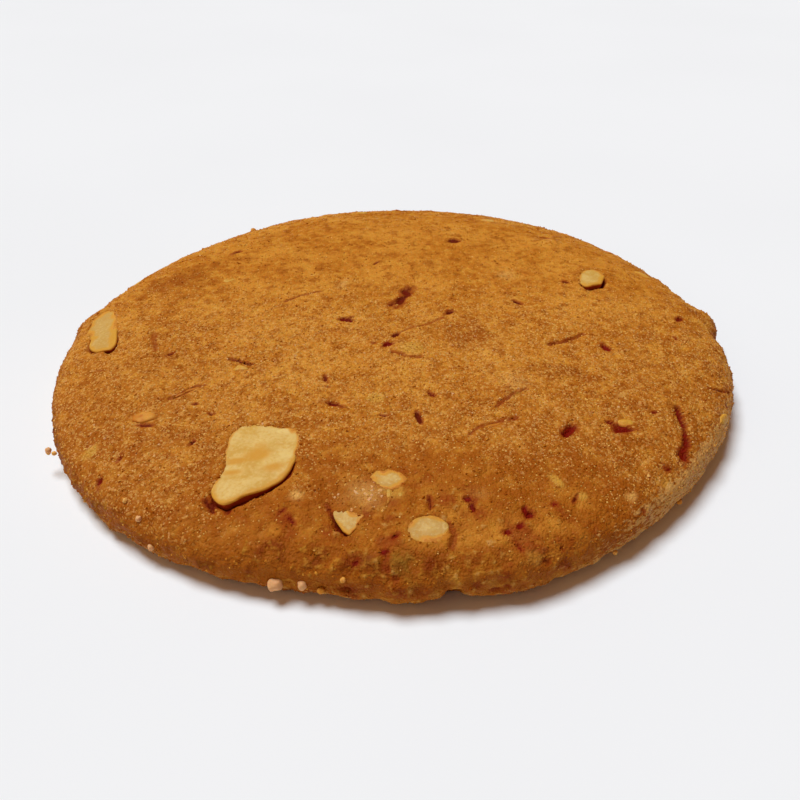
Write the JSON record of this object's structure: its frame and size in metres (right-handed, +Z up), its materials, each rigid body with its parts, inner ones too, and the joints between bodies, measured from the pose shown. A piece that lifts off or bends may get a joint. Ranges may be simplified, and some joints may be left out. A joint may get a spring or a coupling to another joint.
{
  "type": "carrot cake cookie",
  "caption": "Round, gently domed soft-baked carrot cake cookie with a flat base, a sandy crust with small pits and cracks, and chopped nuts set nearly flush into it.",
  "frame": {"origin": "middle of the flat base, on the surface that the cookie rests on", "axes": "+Z up through the domed top; -Y towards the side that carries the largest piece of nut"},
  "size_m": [0.0775, 0.0762, 0.0081],
  "materials": {
    "baked_dough": "matt sandy baked crust",
    "chopped_nut": "satin cut nut flesh"
  },
  "bodies": {
    "root": {"dough": "baked_dough", "nut_front_left": "chopped_nut", "nut_left_edge": "chopped_nut", "nut_back_right": "chopped_nut", "nut_front_middle": "chopped_nut", "nut_front_wedge": "chopped_nut", "nut_front_inner": "chopped_nut"}
  },
  "joints": []
}
